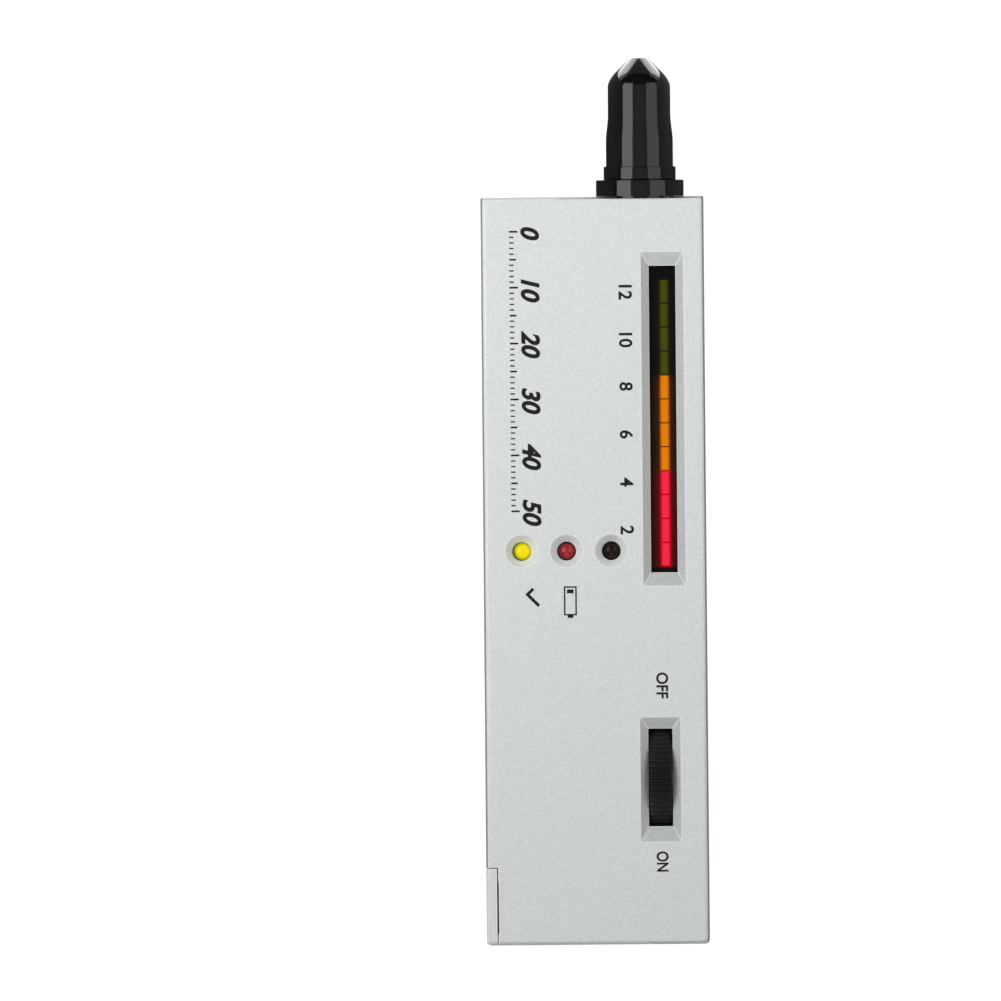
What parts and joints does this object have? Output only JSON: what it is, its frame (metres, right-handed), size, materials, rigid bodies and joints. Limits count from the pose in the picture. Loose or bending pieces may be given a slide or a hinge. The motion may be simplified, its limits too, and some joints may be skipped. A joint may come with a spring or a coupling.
{
  "type": "diamond tester",
  "caption": "Hand-held gem tester: capped spring-loaded probe, light-bar scale, indicator lamps and thumbwheel switch in a flat silver case.",
  "frame": {"origin": "under the middle of the tester on the surface that it lies on, with its cap on", "axes": "+X to the right across the face, +Y along the case towards the probe, +Z out of the face"},
  "size_m": [0.04, 0.1588, 0.0228],
  "materials": {
    "silver_paint": "satin",
    "black_gloss": "gloss",
    "black_matte": "matte",
    "grey_plastic": "satin",
    "white_plastic": "satin",
    "blue_plastic": "satin",
    "circuit_board": "satin",
    "red_bar": "satin",
    "amber_bar": "satin",
    "unlit_bar": "satin",
    "yellow_lamp": "gloss",
    "red_lamp": "gloss",
    "dark_lamp": "gloss",
    "battery_jacket": "satin",
    "steel": "satin",
    "brass": "satin",
    "copper": "satin",
    "ceramic": "matte",
    "red_insulation": "satin",
    "black_insulation": "satin",
    "grey_insulation": "satin"
  },
  "bodies": {
    "case": {"back_shell": "silver_paint", "bar_holder": "black_matte", "battery": "battery_jacket", "battery_snap": "black_matte", "black_lead": "black_insulation", "buzzer": "black_matte", "capacitor_1": "blue_plastic", "capacitor_2": "blue_plastic", "case_screw_1": "steel", "case_screw_2": "steel", "case_screw_3": "steel", "case_screw_4": "steel", "control_chip": "black_matte", "dark_lamp": "dark_lamp", "dial_board": "circuit_board", "dial_pot": "grey_plastic", "dial_ribbon": "grey_insulation", "driver_chip": "black_matte", "front_shell": "silver_paint", "insulator": "white_plastic", "light_bar_01": "red_bar", "light_bar_02": "red_bar", "light_bar_03": "red_bar", "light_bar_04": "red_bar", "light_bar_05": "amber_bar", "light_bar_06": "amber_bar", "light_bar_07": "amber_bar", "light_bar_08": "amber_bar", "light_bar_09": "unlit_bar", "light_bar_10": "unlit_bar", "light_bar_11": "unlit_bar", "light_bar_12": "unlit_bar", "main_board": "circuit_board", "nose_housing": "black_gloss", "probe_lead": "grey_insulation", "probe_spring": "steel", "red_lamp": "red_lamp", "red_lead": "red_insulation", "spring_plug": "brass", "trimmer": "blue_plastic", "yellow_lamp": "yellow_lamp"},
    "cap": {"cap": "black_gloss"},
    "dial": {"thumbwheel": "black_matte", "dial_shaft": "steel"},
    "probe": {"probe_plunger": "brass", "probe_tip": "copper", "heater": "ceramic"},
    "door": {"battery_door": "silver_paint"}
  },
  "joints": [
    {"name": "cap_pull", "type": "slide", "parent": "case", "child": "cap", "axis": [0, 1, 0], "range_m": [0, 0.026]},
    {"name": "dial_turn", "type": "hinge", "parent": "case", "child": "dial", "pos_m": [0.0114, -0.04951, 0.0128], "axis": [1, 0, 0], "range_deg": [-90, 210]},
    {"name": "probe_press", "type": "slide", "parent": "case", "child": "probe", "axis": [0, -1, 0], "range_m": [0, 0.0015], "stiffness_N_per_m": 300, "springref_m": -0.001, "deforming": ["probe_spring"]},
    {"name": "door_slide", "type": "slide", "parent": "case", "child": "door", "axis": [-1, 0, 0], "range_m": [0, 0.031]}
  ]
}
